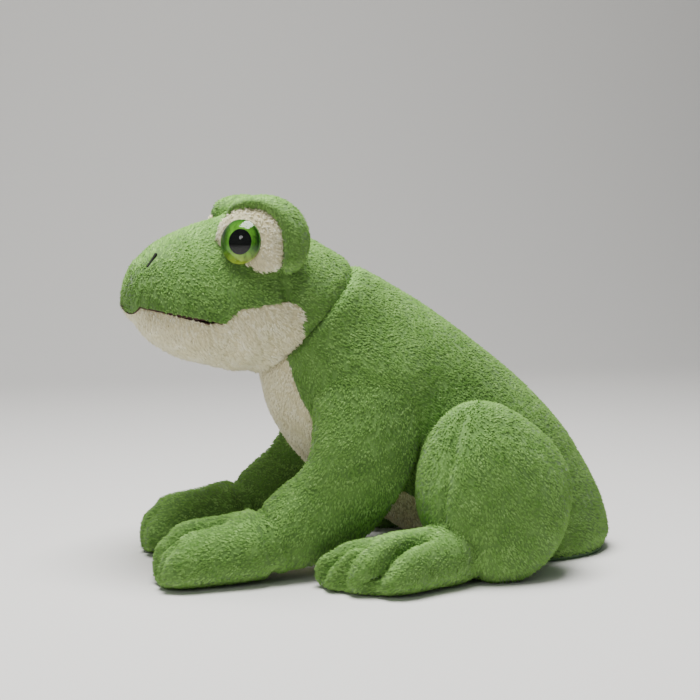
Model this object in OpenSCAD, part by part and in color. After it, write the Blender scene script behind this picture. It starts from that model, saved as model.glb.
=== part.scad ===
// Full-body frog hand puppet, sitting on its hands, feet and rump.
// It faces -X, its left side is -Y, +Z is up, and the origin is under the middle of its
// bounding box. Soft pieces are lofts through oval sections, each drawn from the point at its
// top, the point at its bottom and its half width.

/* [Skin] */
// Thickness of the plush skin with its pile
skin_t = 2.5; // [1.5:0.5:3]
// Thickness of the stuffing between the skin and the lining of the hand's space
padding_t = 6; // [4:0.5:6.5]
// Thickness of the stuffing in the lower jaw, under the thumb
jaw_padding_t = 3; // [2:0.5:3]
// Thickness of the satin lining
lining_t = 0.8; // [0.6:0.1:1]
// Free space between two soft pieces laid one in the other
ease = 0.4; // [0.3:0.1:0.5]

/* [Neck] */
// Outer radius of the ball-shaped collar that the head turns and nods on
collar_r = 30; // [28:0.5:30]
// Thickness of the collar, and of its lining
collar_t = 1.6; // [1:0.2:2]
// Length of the collar along the neck
collar_length = 34; // [24:1:36]
// Radius that the trunk leaves free for the back of the head
neck_sweep_r = 47.5; // [47:0.5:49]

/* [Mouth] */
// Thickness of each palate board
palate_t = 1.4; // [1:0.2:1.6]
// Thickness of the felt on each palate board
felt_t = 0.8; // [0.6:0.1:0.8]
// Radius that the cheeks leave free for the back of the jaw
jaw_sweep_r = 27.5; // [27.5:0.5:28.5]

/* [Eyes] */
// Diameter of each safety eye
eye_d = 25; // [22:0.5:26]
// Height of the clear dome in front of the iris
dome_h = 6.5; // [5:0.5:8]
// Diameter of the pupil
pupil_d = 14.5; // [12:0.5:16]
// Diameter of the eye's stem
stem_d = 5; // [4:0.5:6]
// Length of the stem behind the eye
stem_length = 21; // [20:1:22]
// Diameter of the lock washer on the stem
washer_d = 12; // [10:1:14]
// Depth of the washer behind the eye
washer_depth = 18; // [17:0.5:18.5]
// Thickness of the washer
washer_t = 1.5; // [1:0.5:2]

/* [Limbs] */
// Radius that an arm leaves free for the back of its hand
wrist_sweep_r = 20; // [20:0.5:21]
// Radius that a leg leaves free for the back of its foot
ankle_sweep_r = 19; // [19:0.5:20]
// How far a foot flexes up towards its leg, in degrees
foot_flex = 20; // [10:1:25]

/* [Hidden] */
sides = 24;
$fn = 48;
// A length that reaches past the whole puppet, for cutting tools
beyond = 300;

green = "#5c9147";
cream = "#d2cfb0";
stuffing = "#efeee8";
satin = "#3c6b35";
felt = "#7a3b3b";

// A section is [top, bottom, half width, waist, middle y]: top and bottom are [x, z], and the
// waist says how high its widest place is, as a share of its height.

// Trunk sections from the neck seam to the hand opening
trunk = [[[-13, 177], [-68, 114], 41, 0.5, 0],
         [[6, 168], [-62, 88], 42, 0.5, 0],
         [[34, 151], [-44, 62], 42, 0.5, 0],
         [[64, 129], [-20, 42], 42, 0.5, 0],
         [[94, 104], [4, 26], 44, 0.5, 0],
         [[120, 76], [22, 14], 45, 0.5, 0],
         [[141, 41], [32, 7.5], 45, 0.5, 0],
         [[150, 15], [38, 4.5], 43, 0.5, 0],
         [[147, 2.6], [42, 2.4], 40, 0.5, 0]];
binding_h = 2;
label_size = [0.6, 16, 18];

// The neck's ball joint, and how far the neck leans back from upright
neck_pivot = [-43.5, 0, 148];
neck_lean = -49;

// Upper head sections from the neck to the snout; those in front of the mouth's corners
// have a flat palate
head = [[[-16, 179.6], [-71, 116.4], 42, 0.5, 0],
        [[-40, 194], [-79, 118], 47, 0.5, 0],
        [[-62, 205], [-88, 118], 50, 0.45, 0],
        [[-84, 211], [-96, 123], 50, 0.45, 0],
        [[-97, 210], [-99, 150], 48.5, 0, 0],
        [[-115, 204], [-115, 153.5], 45, 0, 0],
        [[-132, 192], [-131, 157], 37, 0, 0],
        [[-144, 179], [-143, 159.6], 24, 0, 0],
        [[-150, 171.5], [-150, 161], 9, 0, 0]];
head_tip = [-151, 0, 166];
padding_tip = [-146.5, 0, 166.5];
// Length and half width of the palate, as shares of the mouth's, and the gap at its felt
palate_reach = 0.95;
palate_share = 0.92;
felt_gap = 0.15;
// The lining's own third and fourth sections, which pass behind the jaw's space
behind_jaw = [[[-62, 205], [-80, 117], 49.5, 0.45, 0],
              [[-84.5, 210], [-75.5, 150], 46, 0.25, 0]];
// Where the pocket for the fingers ends, and how many head sections it passes
finger_end = [-138, 0, 171];
finger_sections = 7;

// Lower jaw sections from behind the hinge to the chin, with their flat side up
jaw_hinge = [-105, 0, 149];
jaw = [[[-103.2, 148.2], [-80.6, 137.7], 45, 1, 0],
       [[-104.2, 148.2], [-89.6, 127], 45.5, 1, 0],
       [[-105.4, 148.3], [-106, 122.4], 45, 1, 0],
       [[-118, 151.5], [-121, 127], 42, 1, 0],
       [[-132, 155], [-136, 137], 34, 1, 0],
       [[-143, 157.8], [-144.5, 147.5], 22, 1, 0]];
chin = [[-149, 158.4], [-149, 151.6], 10, 1, 0];
jaw_padding_tip = [-145.5, 0, 154.5];
// Where the pocket for the thumb ends, and how many jaw sections it passes
thumb_end = [-134, 0, 149.5];
thumb_sections = 4;

// Left arm sections from the shoulder to the wrist
wrist = [-76, -45, 22];
arm = [[[-24, 107], [-4, 105], 5, 0.5, -51],
       [[-36, 98], [5, 88], 8, 0.5, -52],
       [[-45, 84], [5, 68], 9.2, 0.5, -52.5],
       [[-51, 71], [1, 47], 9.5, 0.5, -52.5],
       [[-58, 62], [-9, 27], 10.5, 0.5, -51],
       [[-66, 55], [-28, 13], 14, 0.5, -47],
       [[-74, 47], [-50, 7], 16, 0.5, -45],
       [[-80, 41], [-70, 5], 17, 0.5, -45]];
shoulder_tip = [-13, -51, 109];

// Left hand and foot sections from their joint to their tips
hand = [[[-78, 40.3], [-74, 3.7], 17, 0.5, -45],
        [[-93, 38], [-90, 1], 20, 0.45, -45],
        [[-109, 37], [-108, 0], 23.5, 0.4, -44.5],
        [[-123, 34], [-123, 0], 25, 0.35, -44],
        [[-133, 26], [-133, 1], 22, 0.35, -43.5]];
finger_tip = [-139, -43, 10];
ankle = [30, -76, 18];
foot = [[[30, 35.8], [30, 0.2], 17, 0.5, -76],
        [[12, 34], [12, 0], 19, 0.4, -81],
        [[-6, 33], [-6, 0], 22.5, 0.35, -85],
        [[-20, 31], [-20, 0], 21.5, 0.35, -84],
        [[-34, 28], [-34, 0], 17, 0.35, -79.5],
        [[-45, 20], [-45, 1], 10.5, 0.35, -73.5]];
toe_tip = [-51, -71, 9];

// Left thigh sections, stacked outwards: y, middle x, middle z, half length, half height
thigh = [[-46.5, 57, 51, 43, 48],
         [-58, 56.5, 51.5, 45.5, 50],
         [-70, 56.5, 48.5, 44.5, 48],
         [-80, 56, 42.5, 38, 41.5],
         [-87, 55, 36, 25, 29]];
thigh_outer = [54, -92, 33];

// The left eye's middle on its patch, its axis as a turn and a rise, and the hood behind it
eye_place = [-88, -46, 194];
eye_turn = -128;
eye_rise = 6;
// Thickness of the eye's back plate, and of its iris and pupil
disc_t = 0.6;
hood_place = [-76, -32, 196.5];
hood_r = 25;
hood_bulge = 16;
patch_r = 19.5;
patch_depth = 9;
nostril_ends = [[-133, -19.5, 186.5], [-137.5, -20, 179.5]];
nostril_r = 0.9;

// ---- Lofts ----

function up3(p, y) = [p[0], y, p[1]];
// A section moved in by a distance: its centre, then its sideways, upper and lower axes
function axes_of(s, inset) =
    let (top = up3(s[0], s[4]), bottom = up3(s[1], s[4]), u = (top - bottom) / norm(top - bottom),
         low = bottom + u * inset, high = top - u * inset, c = low + (high - low) * s[3])
    [c, [0, s[2] - inset, 0], high - c, low - c];
// A point of a section at an angle from its sideways axis
function oval_point(f, t) =
    f[0] + f[1] * cos(t) + (sin(t) < 0 ? -f[3] : f[2]) * sin(t);
function ring(s, inset) = let (f = axes_of(s, inset))
    [for (i = [0:sides - 1]) oval_point(f, 360 * i / sides)];
function rings(sections, inset) = [for (s = sections) ring(s, inset)];
function reversed(list) = [for (i = [len(list) - 1:-1:0]) list[i]];
function first(list, n) = [for (i = [0:n - 1]) list[i]];
function points_of(ring_list) = [for (r = ring_list, p = r) p];
// Two triangles between each pair of neighbours of two rings
function band(n, a, b) = [for (i = [0:n - 1], k = [0, 1]) let (h = (i + 1) % n)
    k == 0 ? [a + i, a + h, b + h] : [a + i, b + h, b + i]];

// Solid skinned over rings of equal length, with a point at each end
module capped_loft(ring_list, start, end) {
    n = len(ring_list[0]);
    m = len(ring_list);
    polyhedron(concat(points_of(ring_list), [start, end]),
        concat([for (j = [0:m - 2]) each band(n, j * n, (j + 1) * n)],
               [for (i = [0:n - 1]) [n * m, (i + 1) % n, i]],
               [for (i = [0:n - 1]) [n * m + 1, (m - 1) * n + i, (m - 1) * n + (i + 1) % n]]));
}

// Solid skinned over rings whose last one joins the first, such as a tube with a wall
module looped_loft(ring_list) {
    n = len(ring_list[0]);
    m = len(ring_list);
    polyhedron(points_of(ring_list),
        [for (j = [0:m - 1]) each band(n, j * n, ((j + 1) % m) * n)]);
}

// Wall between two insets of the same sections, open at both ends
module tube(sections, outer, inner) {
    looped_loft(concat(rings(sections, inner), reversed(rings(sections, outer))));
}

// Wall that is open at its first section and closed beyond its last, over a hollow with its
// own end and its own number of sections
module pocket(sections, outer, inner, tip, hollow_tip, hollow_count) {
    capped_loft(concat(reversed(rings(first(sections, hollow_count), inner)),
                       rings(sections, outer)), hollow_tip, tip);
}

// Strip of a tube's wall between two angles, for one sewn panel
module panel(sections, outer, inner, from, to, steps) {
    function arc_of(s, inset) = let (f = axes_of(s, inset))
        [for (i = [0:steps]) oval_point(f, from + (to - from) * i / steps)];
    strips = [for (s = sections) concat(arc_of(s, outer), reversed(arc_of(s, inner)))];
    n = 2 * steps + 2;
    m = len(strips);
    function end_faces(base, flip) = [for (i = [0:steps - 1], k = [0, 1])
        let (a = base + i, b = base + i + 1, c = base + n - 2 - i, d = base + n - 1 - i)
        k == 0 ? (flip ? [a, b, d] : [b, a, d]) : (flip ? [b, c, d] : [b, d, c])];
    polyhedron(points_of(strips),
        concat([for (j = [0:m - 2]) each band(n, j * n, (j + 1) * n)],
               end_faces(0, false), end_faces((m - 1) * n, true)));
}

module on_side(left) {
    if (left) children();
    else mirror([0, 1, 0]) children();
}

// Space swept by a piece that swings about a sideways axis
module swing_space(pivot, r, width) {
    translate(pivot) rotate([90, 0, 0]) cylinder(r = r, h = width, center = true);
}

// ---- Trunk ----

module neck_space() {
    translate(neck_pivot) sphere(r = neck_sweep_r);
}

module side_panel(left) {
    color(green) on_side(left) difference() {
        panel(trunk, 0, skin_t, -140, -270, 12);
        neck_space();
    }
}

module belly_panel() {
    color(cream) difference() {
        panel(trunk, 0, skin_t, -40, -140, 8);
        neck_space();
    }
}

// One of the four strips of stuffing round the hand's space
module trunk_padding(from, to) {
    wall = skin_t + ease;
    color(stuffing) difference() {
        panel(trunk, wall, wall + padding_t, from, to, 6);
        neck_space();
    }
}

module hand_sleeve() {
    inset = skin_t + padding_t + 2 * ease;
    color(satin) difference() {
        tube(trunk, inset, inset + lining_t);
        neck_space();
    }
}

// Bias binding under the rim of the hand opening, which the rump rests on
module opening_binding() {
    rim = trunk[len(trunk) - 1];
    wall = skin_t + padding_t + lining_t + 2 * ease;
    function rim_points(inset) = [for (i = [0:2 * sides - 1]) let (t = 180 * i / sides)
        [(rim[0][0] + rim[1][0]) / 2 + ((rim[0][0] - rim[1][0]) / 2 - inset) * cos(t),
         (rim[2] - inset) * sin(t)]];
    color(satin) linear_extrude(binding_h) difference() {
        polygon(rim_points(0));
        polygon(rim_points(wall));
    }
}

// Blank label sewn to the opening's front edge, standing up inside
module care_label() {
    inner_edge = trunk[8][1][0] + skin_t + padding_t + lining_t + 2 * ease;
    stand_off = 2.4;
    color("white") translate([inner_edge + stand_off, -label_size[1] / 2, binding_h + ease])
        cube(label_size);
}

// ---- Neck ----

module ball_band(r, t, length) {
    rise = asin(length / 2 / r);
    translate(neck_pivot) rotate([0, neck_lean, 0])
        rotate_extrude() polygon(concat(
            [for (a = [-rise:rise / 6:rise]) r * [cos(a), sin(a)]],
            [for (a = [rise:-rise / 6:-rise]) (r - t) * [cos(a), sin(a)]]));
}

module neck_collar() {
    color(green) ball_band(collar_r, collar_t, collar_length);
}

module neck_lining() {
    color(satin) ball_band(collar_r - collar_t - ease, lining_t, collar_length);
}

// ---- Head ----

// Space for the jaw to swing in, under the level of its hinge
module jaw_space() {
    intersection() {
        swing_space(jaw_hinge, jaw_sweep_r, beyond);
        translate(jaw_hinge - [beyond, beyond, 2 * beyond] / 2) cube(beyond);
    }
}

module on_eye(left, place) {
    on_side(left) translate(place) rotate([0, 90 - eye_rise, eye_turn]) children();
}

// Round hole about the eye's axis, from behind the washer to the eye's middle
module eye_hole(d, from, length) {
    for (left = [true, false])
        on_eye(left, eye_place) translate([0, 0, -from - length]) cylinder(d = d, h = length);
}

// Room for the washer, which presses into the cloth around it
module washer_slot() {
    eye_hole(washer_d + 2 * ease, washer_depth - ease, washer_t + 2 * ease);
}

module neck_panel() {
    color(green) panel(first(head, 3), 0, skin_t, -15, 195, 14);
}

module muzzle_skin() {
    color(green) difference() {
        panel([for (i = [2:len(head) - 1]) head[i]], 0, skin_t, -15, 195, 14);
        eye_hole(stem_d + 2 * ease, 0, stem_length + 4);
        washer_slot();
    }
}

module cheek_panel() {
    color(cream) difference() {
        panel(first(head, 4), 0, skin_t, -163, -17, 12);
        jaw_space();
    }
}

module head_padding() {
    wall = skin_t + ease;
    color(stuffing) difference() {
        pocket(first(head, 8), wall, wall + padding_t, padding_tip, finger_end, finger_sections);
        jaw_space();
        eye_hole(stem_d + 2 * ease, 0, stem_length + 4);
        eye_hole(washer_d + 2 * ease, washer_depth - ease, 8);
    }
}

module head_lining() {
    wall = skin_t + padding_t + 4 * ease;
    sections = [for (i = [0:finger_sections - 1]) i == 2 || i == 3 ? behind_jaw[i - 2] : head[i]];
    color(satin) pocket(sections, wall, wall + lining_t, finger_end + [1, 0, 0],
                        finger_end + [2, 0, 0], finger_sections);
}

// Half-round plate along the palate, from the hinge to the snout
module palate_plate(rise, thickness) {
    slope = atan((head[7][1][1] - head[4][1][1]) / (head[4][1][0] - head[7][1][0]));
    translate([head[4][1][0], 0, head[4][1][1]]) rotate([0, slope, 0])
        translate([0, 0, rise]) linear_extrude(thickness)
            polygon([for (side = [-1, 1], i = [0:3]) let (s = head[side < 0 ? 4 + i : 7 - i])
                [palate_reach * (s[1][0] - head[4][1][0]) - 4 * ease,
                 side * (palate_share * s[2] - skin_t)]]);
}

module palate_upper() {
    color("tan") palate_plate(felt_t + 2 * felt_gap, palate_t);
}

module palate_felt_upper() {
    color(felt) palate_plate(felt_gap, felt_t);
}

// Spheroid about the eye's axis
module eye_lobe(r, bulge, steps) {
    rotate_extrude() polygon([for (i = [0:steps]) let (a = -90 + 180 * i / steps)
        [r * cos(a), bulge * sin(a)]]);
}

module head_core() {
    capped_loft(rings(head, 0), neck_pivot, head_tip);
}

module patch_body(left, grow) {
    on_eye(left, eye_place) translate([0, 0, -patch_depth])
        eye_lobe(patch_r + grow, patch_depth - 0.2 + grow, 12);
}

module eye_hood(left) {
    color(green) difference() {
        on_eye(left, hood_place) eye_lobe(hood_r, hood_bulge, 16);
        head_core();
        patch_body(left, ease);
        eye_hole(stem_d + 2 * ease, 0, stem_length + 4);
        washer_slot();
    }
}

module eye_patch(left) {
    color(cream) difference() {
        patch_body(left, 0);
        head_core();
        eye_hole(stem_d + 2 * ease, 0, stem_length + 4);
        on_eye(left, eye_place) cylinder(d = eye_d + 2, h = 20);
    }
}

// Clear dome, a solid cap of a sphere, on the flat iris
module eye_dome(left) {
    ball_r = (pow(eye_d / 2, 2) + pow(dome_h, 2)) / (2 * dome_h);
    color("white", 0.3) on_eye(left, eye_place) translate([0, 0, 2 * disc_t]) intersection() {
        translate([0, 0, dome_h - ball_r]) sphere(r = ball_r, $fn = 64);
        cylinder(d = eye_d, h = dome_h + 1);
    }
}

module eye_iris(left) {
    color("yellowgreen") on_eye(left, eye_place) translate([0, 0, disc_t]) difference() {
        cylinder(d = eye_d, h = disc_t);
        translate([0, 0, -1]) cylinder(d = pupil_d, h = disc_t + 2);
    }
}

module eye_pupil(left) {
    color("black") on_eye(left, eye_place) translate([0, 0, disc_t])
        cylinder(d = pupil_d, h = disc_t);
}

module eye_stem(left) {
    color("black") on_eye(left, eye_place) {
        cylinder(d = eye_d, h = disc_t);
        translate([0, 0, -stem_length]) cylinder(d = stem_d, h = stem_length);
    }
}

module eye_washer(left) {
    color("white") on_eye(left, eye_place) translate([0, 0, -washer_depth - washer_t])
        difference() {
            cylinder(d = washer_d, h = washer_t);
            translate([0, 0, -1]) cylinder(d = stem_d, h = washer_t + 2);
        }
}

module nostril(left) {
    color("black") on_side(left) hull()
        for (end = nostril_ends) translate(end) sphere(r = nostril_r, $fn = 12);
}

// ---- Jaw ----

module jaw_skin() {
    color(cream) panel(concat(jaw, [chin]), 0, skin_t, -195, 15, 14);
}

module jaw_padding() {
    wall = skin_t + ease;
    color(stuffing) pocket(jaw, wall, wall + jaw_padding_t, jaw_padding_tip, thumb_end,
                           thumb_sections);
}

module thumb_lining() {
    wall = skin_t + jaw_padding_t + 2 * ease;
    color(satin) pocket(first(jaw, thumb_sections), wall, wall + lining_t, thumb_end + [1.5, 0, 0],
                        thumb_end + [3, 0, 0], thumb_sections);
}

// Half-round plate along the top of the jaw, from the hinge to the chin
module jaw_plate(drop, thickness) {
    slope = atan((jaw[5][0][1] - jaw[2][0][1]) / (jaw[2][0][0] - jaw[5][0][0]));
    translate([jaw[2][0][0], 0, jaw[2][0][1]]) rotate([0, slope, 0])
        translate([0, 0, -drop - thickness]) linear_extrude(thickness)
            polygon([for (side = [-1, 1], i = [0:3]) let (s = jaw[side < 0 ? 2 + i : 5 - i])
                [s[0][0] - jaw[2][0][0], side * (palate_share * s[2] - skin_t)]]);
}

module palate_lower() {
    color("tan") jaw_plate(felt_t + 2 * felt_gap, palate_t);
}

module palate_felt_lower() {
    color(felt) jaw_plate(felt_gap, felt_t);
}

// ---- Arms ----

module arm_skin(left) {
    color(green) on_side(left) difference() {
        capped_loft(concat(rings(arm, 0), reversed(rings(arm, skin_t))), shoulder_tip,
                    shoulder_tip - [0, 0, skin_t]);
        swing_space(wrist, wrist_sweep_r, beyond);
    }
}

module arm_filling(left) {
    color(stuffing) on_side(left) difference() {
        capped_loft(rings(arm, skin_t + ease), shoulder_tip - [0, 0, skin_t + ease], wrist);
        swing_space(wrist, wrist_sweep_r, beyond);
    }
}

module hand_skin(left) {
    color(green) on_side(left)
        pocket(hand, 0, skin_t, finger_tip, finger_tip + [skin_t, 0, 0], len(hand));
}

module hand_filling(left) {
    inset = skin_t + ease;
    color(stuffing) on_side(left)
        capped_loft(rings(hand, inset), [wrist[0] - 1, wrist[1], wrist[2]],
                    finger_tip + [inset, 0, 0]);
}

// ---- Legs ----

function thigh_rings(inset) = [for (s = thigh) [for (i = [0:sides - 1]) let (t = 360 * i / sides)
    [s[1] + (s[3] - inset) * cos(t), s[0], s[2] + (s[4] - inset) * sin(t)]]];

// Space over the instep and in front of the ankle that the foot sweeps
module foot_space() {
    ahead = 60;
    swing_space(ankle, ankle_sweep_r, beyond);
    translate(ankle) rotate([90, 0, 0]) linear_extrude(beyond, center = true)
        polygon([[0, ankle_sweep_r], [-ahead, ankle_sweep_r + ahead * tan(foot_flex)],
                 [-ahead, -2 * ankle[2]], [0, -2 * ankle[2]]]);
}

module thigh_skin(left) {
    color(green) on_side(left) difference() {
        capped_loft(concat(reversed(thigh_rings(0)), thigh_rings(skin_t)), thigh_outer,
                    thigh_outer + [0, skin_t, 0]);
        foot_space();
    }
}

module thigh_filling(left) {
    inset = skin_t + ease;
    color(stuffing) on_side(left) difference() {
        capped_loft(reversed(thigh_rings(inset)), thigh_outer + [0, inset, 0],
                    [thigh[0][1], thigh[0][0], thigh[0][2]]);
        foot_space();
    }
}

module foot_skin(left) {
    color(green) on_side(left)
        pocket(foot, 0, skin_t, toe_tip, toe_tip + [skin_t, 0, 0], len(foot));
}

module foot_filling(left) {
    inset = skin_t + ease;
    color(stuffing) on_side(left)
        capped_loft(rings(foot, inset), [ankle[0] - 0.5, ankle[1], ankle[2]],
                    toe_tip + [inset, 0, 0]);
}

side_panel(true);  // side_panel_left
side_panel(false);  // side_panel_right
belly_panel();
trunk_padding(-225, -315);  // padding_back
trunk_padding(-45, -135);  // padding_belly
trunk_padding(-135, -225);  // padding_left
trunk_padding(45, -45);  // padding_right
hand_sleeve();
opening_binding();
care_label();
neck_collar();
neck_lining();
neck_panel();
muzzle_skin();
cheek_panel();
head_padding();
head_lining();
palate_upper();
palate_felt_upper();
eye_hood(true);  // eye_hood_left
eye_hood(false);  // eye_hood_right
eye_patch(true);  // eye_patch_left
eye_patch(false);  // eye_patch_right
eye_dome(true);  // eye_dome_left
eye_dome(false);  // eye_dome_right
eye_iris(true);  // eye_iris_left
eye_iris(false);  // eye_iris_right
eye_pupil(true);  // eye_pupil_left
eye_pupil(false);  // eye_pupil_right
eye_stem(true);  // eye_stem_left
eye_stem(false);  // eye_stem_right
eye_washer(true);  // eye_washer_left
eye_washer(false);  // eye_washer_right
nostril(true);  // nostril_left
nostril(false);  // nostril_right
jaw_skin();
jaw_padding();
thumb_lining();
palate_lower();
palate_felt_lower();
arm_skin(true);  // arm_skin_left
arm_skin(false);  // arm_skin_right
arm_filling(true);  // arm_filling_left
arm_filling(false);  // arm_filling_right
hand_skin(true);  // hand_skin_left
hand_skin(false);  // hand_skin_right
hand_filling(true);  // hand_filling_left
hand_filling(false);  // hand_filling_right
thigh_skin(true);  // thigh_skin_left
thigh_skin(false);  // thigh_skin_right
thigh_filling(true);  // thigh_filling_left
thigh_filling(false);  // thigh_filling_right
foot_skin(true);  // foot_skin_left
foot_skin(false);  // foot_skin_right
foot_filling(true);  // foot_filling_left
foot_filling(false);  // foot_filling_right
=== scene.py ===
"""Plush frog hand puppet sitting on its hands, feet and rump. Units are metres; it faces -X and
its left side is -Y."""

import math

import bpy
import numpy as np
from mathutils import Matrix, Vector
from mathutils.bvhtree import BVHTree


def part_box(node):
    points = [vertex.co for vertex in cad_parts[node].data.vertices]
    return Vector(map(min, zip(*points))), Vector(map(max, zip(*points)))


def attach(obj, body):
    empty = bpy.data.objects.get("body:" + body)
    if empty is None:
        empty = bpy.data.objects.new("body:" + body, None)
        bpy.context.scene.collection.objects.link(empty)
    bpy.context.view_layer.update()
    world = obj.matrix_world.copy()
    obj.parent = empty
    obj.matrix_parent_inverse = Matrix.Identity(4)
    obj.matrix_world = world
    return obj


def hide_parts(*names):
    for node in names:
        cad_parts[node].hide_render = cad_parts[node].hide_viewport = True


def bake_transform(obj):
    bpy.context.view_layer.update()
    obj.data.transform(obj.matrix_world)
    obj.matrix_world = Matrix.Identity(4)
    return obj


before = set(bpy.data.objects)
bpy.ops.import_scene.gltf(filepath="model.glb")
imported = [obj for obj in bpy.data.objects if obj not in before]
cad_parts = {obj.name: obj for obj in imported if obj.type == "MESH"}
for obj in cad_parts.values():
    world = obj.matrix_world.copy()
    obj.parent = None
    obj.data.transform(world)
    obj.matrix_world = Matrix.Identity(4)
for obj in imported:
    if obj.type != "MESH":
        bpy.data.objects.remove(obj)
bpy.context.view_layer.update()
MM = 0.001


# ---- Camera, floor and studio light -------------------------------------------------------
# A pale table top that rises into a backdrop, under one large overhead softbox, with a
# weaker one in front and a pale room around. None of it is part of the puppet.


def srgb(code):
    """A hex colour as linear red, green, blue and alpha."""
    parts = [int(code[i:i + 2], 16) / 255 for i in (1, 3, 5)]
    return [p / 12.92 if p <= 0.04045 else ((p + 0.055) / 1.055) ** 2.4 for p in parts] + [1]


def add_node(tree, kind, links=None, **settings):
    """A shader node with its settings, and with sockets set or linked by name."""
    made = tree.nodes.new("ShaderNode" + kind)
    for key, value in settings.items():
        setattr(made, key, value)
    for socket, value in (links or {}).items():
        if isinstance(value, bpy.types.NodeSocket):
            tree.links.new(value, made.inputs[socket])
        else:
            made.inputs[socket].default_value = value
    return made


def new_material(name):
    """An empty material and its node tree."""
    made = bpy.data.materials.new(name)
    made.use_nodes = True
    made.node_tree.nodes.clear()
    return made, made.node_tree


def principled(tree, **sockets):
    """The tree's Principled shader, wired to its output."""
    names = {key.replace("_", " "): value for key, value in sockets.items()}
    shader = add_node(tree, "BsdfPrincipled", names)
    add_node(tree, "OutputMaterial", {"Surface": shader.outputs[0]})
    return shader


def mesh_piece(name, verts, faces, smooth=True):
    """A new object with this mesh, in the puppet's frame."""
    data = bpy.data.meshes.new(name)
    data.from_pydata([tuple(v) for v in verts], [], [tuple(int(i) for i in f) for f in faces])
    data.update()
    if smooth:
        data.polygons.foreach_set("use_smooth", [True] * len(data.polygons))
    made = bpy.data.objects.new(name, data)
    bpy.context.scene.collection.objects.link(made)
    return made


camera_data = bpy.data.cameras.new("camera")
camera_data.sensor_width = 36
camera_data.lens = 77.1
camera = bpy.data.objects.new("camera", camera_data)
bpy.context.scene.collection.objects.link(camera)
looked_at = Vector((-0.015, 0, 0.127))
turn, rise = math.radians(-13), math.radians(5.9)
away = Vector((math.sin(turn) * math.cos(rise), -math.cos(turn) * math.cos(rise), math.sin(rise)))
camera.location = looked_at + away * 0.905
camera.rotation_euler = (-away).to_track_quat("-Z", "Y").to_euler()
bpy.context.scene.camera = camera

floor_verts = []
bend_r = 0.5
profile = [(-3.0, 0.0), (0.9, 0.0)]
profile += [(0.9 + bend_r * math.sin(a), bend_r * (1 - math.cos(a)))
            for a in np.linspace(0.1, math.pi / 2, 16)]
profile += [(0.9 + bend_r, 3.0)]
for y, z in profile:
    floor_verts += [(-4, y, z), (4, y, z)]
floor_faces = [(2 * i, 2 * i + 1, 2 * i + 3, 2 * i + 2) for i in range(len(profile) - 1)]
floor = mesh_piece("floor", floor_verts, floor_faces)
paper, tree = new_material("matt_backdrop_paper")
principled(tree, Base_Color=srgb("#dedcd8"), Roughness=0.9)
floor.data.materials.append(paper)

for name, place, aim, size, power in [
    ("overhead_softbox", (-0.12, -0.1, 1.1), (-0.02, 0, 0.1), 0.6, 29),
    ("front_softbox", (-0.9, -1.0, 0.75), (-0.05, 0, 0.12), 0.35, 2.5),
]:
    light_data = bpy.data.lights.new(name, "AREA")
    light_data.size = size
    light_data.energy = power
    light = bpy.data.objects.new(name, light_data)
    light.location = place
    light.rotation_euler = (Vector(aim) - Vector(place)).to_track_quat("-Z", "Y").to_euler()
    bpy.context.scene.collection.objects.link(light)
world = bpy.data.worlds.new("studio")
world.use_nodes = True
world.node_tree.nodes["Background"].inputs[0].default_value = srgb("#e6ebf0")
world.node_tree.nodes["Background"].inputs[1].default_value = 0.2
bpy.context.scene.world = world


# ---- Trunk --------------------------------------------------------------------------------
# The back and both sides are green plush, cut as two panels, and the belly is one beige
# panel. They are sewn inside out, turned over their stuffing, and rolled in at the neck.


def through(rows, steps):
    """A smooth run of rows through the given ones, with this many steps between each two."""
    rows = np.array(rows, float)
    ends = np.vstack([2 * rows[0] - rows[1], rows, 2 * rows[-1] - rows[-2]])
    made = []
    for i in range(1, len(rows)):
        a, b, c, d = ends[i - 1:i + 3]
        for t in np.arange(steps) / steps:
            made.append(0.5 * (2 * b + (c - a) * t + (2 * a - 5 * b + 4 * c - d) * t * t
                               + (3 * b - a - 3 * c + d) * t ** 3))
    return np.array(made + [rows[-1]])


def oval_rows(rows, angles):
    """Points round each section, which is its top's x and z, its bottom's x and z, its half
    width, how high its waist is, and its middle's y, all in millimetres."""
    angles = np.broadcast_to(angles, (len(rows), np.shape(angles)[-1]))
    tx, tz, bx, bz, half, waist, y = (rows[:, i, None] for i in range(7))
    c, s = np.cos(angles), np.sin(angles)
    share = np.where(s > 0, waist + (1 - waist) * s, waist + waist * s)
    return np.stack([bx + (tx - bx) * share, y + half * c, bz + (tz - bz) * share], -1) * MM


def rounded_end(row, tip, steps):
    """Sections that close a loft from its last one to a point, as half an ellipse does."""
    tx, tz, bx, bz, half, waist, y = row
    made = []
    for a in np.linspace(0, math.pi / 2, steps + 1)[1:]:
        c, s = max(math.cos(a), 0.004), math.sin(a)
        mid_x, mid_z = (tx + bx) / 2, (tz + bz) / 2
        x, z = mid_x + (tip[0] - mid_x) * s, mid_z + (tip[2] - mid_z) * s
        made.append([x + (tx - mid_x) * c, z + (tz - mid_z) * c, x + (bx - mid_x) * c,
                     z + (bz - mid_z) * c, half * c, waist, y + (tip[1] - y) * s])
    return np.array(made)


def grid_faces(rows, columns, wrap):
    """Four-sided faces between the points of a grid, closed round if wrap is true."""
    last = columns if wrap else columns - 1
    return [(r * columns + c, r * columns + (c + 1) % columns,
             (r + 1) * columns + (c + 1) % columns, (r + 1) * columns + c)
            for r in range(rows - 1) for c in range(last)]


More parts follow.
